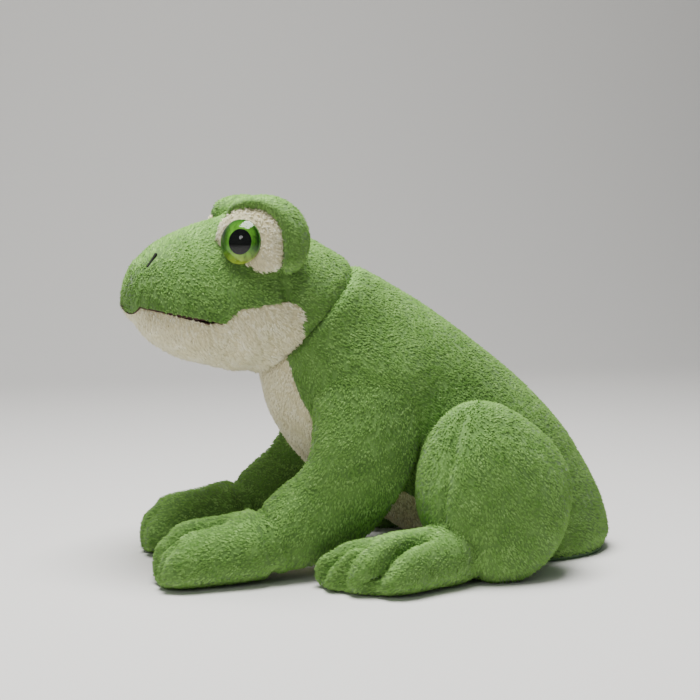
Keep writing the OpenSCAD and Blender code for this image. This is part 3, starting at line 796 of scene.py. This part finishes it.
def fibrous(name, dark, light, size, roughness, lift):
    """A cloth or board of pressed or woven fibres: their colour and height vary together."""
    cloth, tree = new_material(name)
    where = add_node(tree, "TexCoord").outputs["Object"]
    fibres = add_node(tree, "TexNoise", {"Vector": where, "Scale": 1 / (size * MM),
                                         "Detail": 4.0, "Roughness": 0.65})
    ramp = add_node(tree, "ValToRGB", {0: fibres.outputs[0]})
    ramp.color_ramp.elements[0].position = 0.3
    ramp.color_ramp.elements[0].color = srgb(dark)
    ramp.color_ramp.elements[1].position = 0.7
    ramp.color_ramp.elements[1].color = srgb(light)
    bump = add_node(tree, "Bump", {"Height": fibres.outputs[0], "Strength": 0.5,
                                   "Distance": lift * MM})
    principled(tree, Base_Color=ramp.outputs[0], Roughness=roughness, Normal=bump.outputs[0])
    return cloth


def finish_node(name, finish):
    """Gives a CAD node its finish."""
    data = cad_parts[name].data
    data.materials.clear()
    data.materials.append(finish)


# Pressed wool is quite matt with a mottled, fuzzy face. The board is smoother, and speckled.
mouth_felt = fibrous("pressed_wool_felt", "#2c1617", "#4a2625", 1.5, 0.95, 0.3)
fibre_board = fibrous("pressed_fibre_board", "#85745c", "#a8967a", 2, 0.85, 0.1)
for lining, half in ((palate, "upper"), (tongue, "lower")):
    thicken(lining, 0.8 * MM)
    lining.data.materials.append(mouth_felt)
    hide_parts(f"palate_felt_{half}")
    finish_node(f"palate_{half}", fibre_board)
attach(palate, "head")
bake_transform(tongue)


# ---- Eyes ---------------------------------------------------------------------------------
# Stock safety eyes: a printed iris foil and a black pupil under a clear moulded dome, on a
# black stem that passes through the cloth into a white lock washer inside.

# Moulded acrylic: clear, so it shows as sharp reflections that grow towards the rim.
acrylic, tree = new_material("clear_moulded_acrylic")
gloss = add_node(tree, "BsdfGlossy", {"Roughness": 0.03})
see_through = add_node(tree, "BsdfTransparent", {"Color": srgb("#f6fbf4")})
edge_on = add_node(tree, "Fresnel", {"IOR": 1.49})
clear = add_node(tree, "MixShader", {0: edge_on.outputs[0], 1: see_through.outputs[0],
                                     2: gloss.outputs[0]})
add_node(tree, "OutputMaterial", {"Surface": clear.outputs[0]})


def iris_foil(side):
    """Printed foil: bright green round the pupil, darker at the rim, with a painted yellow-green
    glow at its foot that stands for the light the dome gathers there."""
    foil, tree = new_material("iris_print_and_painted_glow_" + side)
    middle = eye_middle * MM * np.array([1, 1 if side == "left" else -1, 1])
    where = add_node(tree, "TexCoord").outputs["Object"]
    reach = add_node(tree, "VectorMath", {0: where, 1: tuple(middle)}, operation="DISTANCE")
    out = add_node(tree, "MapRange", {"Value": reach.outputs["Value"], "From Min": 0.007,
                                      "From Max": 0.0125})
    ring = add_node(tree, "ValToRGB", {0: out.outputs[0]})
    ring.color_ramp.elements[0].position = 0.5
    ring.color_ramp.elements[0].color = srgb("#8fe246")
    ring.color_ramp.elements[1].color = srgb("#4a9c33")
    height = add_node(tree, "SeparateXYZ", {0: where})
    # Painted light: yellow-green towards the foil's foot, for the light the clear dome gathers
    # there.
    painted_dome_glow = add_node(tree, "MapRange", {"Value": height.outputs["Z"],
                                            "From Min": middle[2] - 0.0115,
                                            "From Max": middle[2] - 0.004,
                                            "To Min": 1.0, "To Max": 0.0})
    mixed = add_node(tree, "MixRGB", {0: painted_dome_glow.outputs[0], 1: ring.outputs[0],
                                      2: srgb("#ecff58")})
    principled(tree, Base_Color=mixed.outputs[0], Roughness=0.35)
    return foil


def moulded(name, code, roughness):
    """Injection-moulded plastic with a very faint unevenness in its gloss."""
    plastic, tree = new_material(name)
    where = add_node(tree, "TexCoord").outputs["Object"]
    uneven = add_node(tree, "TexNoise", {"Vector": where, "Scale": 400.0})
    rough = add_node(tree, "MapRange", {"Value": uneven.outputs[0], "To Min": roughness,
                                        "To Max": roughness + 0.03})
    principled(tree, Base_Color=srgb(code), Roughness=rough.outputs[0])
    return plastic


# Moulded ABS looks deep black and glossy, moulded nylon waxy and off-white.
black_abs = moulded("black_moulded_abs", "#060606", 0.2)
white_nylon = moulded("white_moulded_nylon", "#e6e4de", 0.4)
for side in ("left", "right"):
    finish_node("eye_dome_" + side, acrylic)
    finish_node("eye_iris_" + side, iris_foil(side))
    finish_node("eye_pupil_" + side, black_abs)
    finish_node("eye_stem_" + side, black_abs)
    finish_node("eye_washer_" + side, white_nylon)


# ---- Nostrils -----------------------------------------------------------------------------
# Two slits embroidered in black thread: short satin stitches laid side by side.
# Spun polyester thread is matt, and its strands show as fine uneven ridges.
black_thread = fibrous("black_spun_polyester_thread", "#0b0c09", "#22251c", 0.4, 0.8, 0.1)
for side in ("left", "right"):
    finish_node("nostril_" + side, black_thread)


# ---- Lining and opening -------------------------------------------------------------------
# Green satin lines the space for the hand, from the bias binding round the opening under the
# rump, through the neck's collar, to the fingers' pocket and the thumb's. One blank woven
# label is sewn in at the front of the opening.
# Woven satin gives a soft shine, knitted rib is matt and coarse, and the tape is finely
# woven. The satin's threads are drawn as coarse as they need to be to show.
satin = fibrous("woven_green_satin", "#2d5327", "#46743d", 3, 0.38, 0.15)
collar_rib = fibrous("knitted_green_rib", "#3d6a2c", "#55873f", 1.2, 0.9, 0.4)
label_tape = fibrous("woven_white_label_tape", "#dcdad4", "#f2f0ec", 0.8, 0.6, 0.05)
for name in ("hand_sleeve", "neck_lining", "head_lining", "thumb_lining", "opening_binding"):
    finish_node(name, satin)
finish_node("neck_collar", collar_rib)
finish_node("care_label", label_tape)
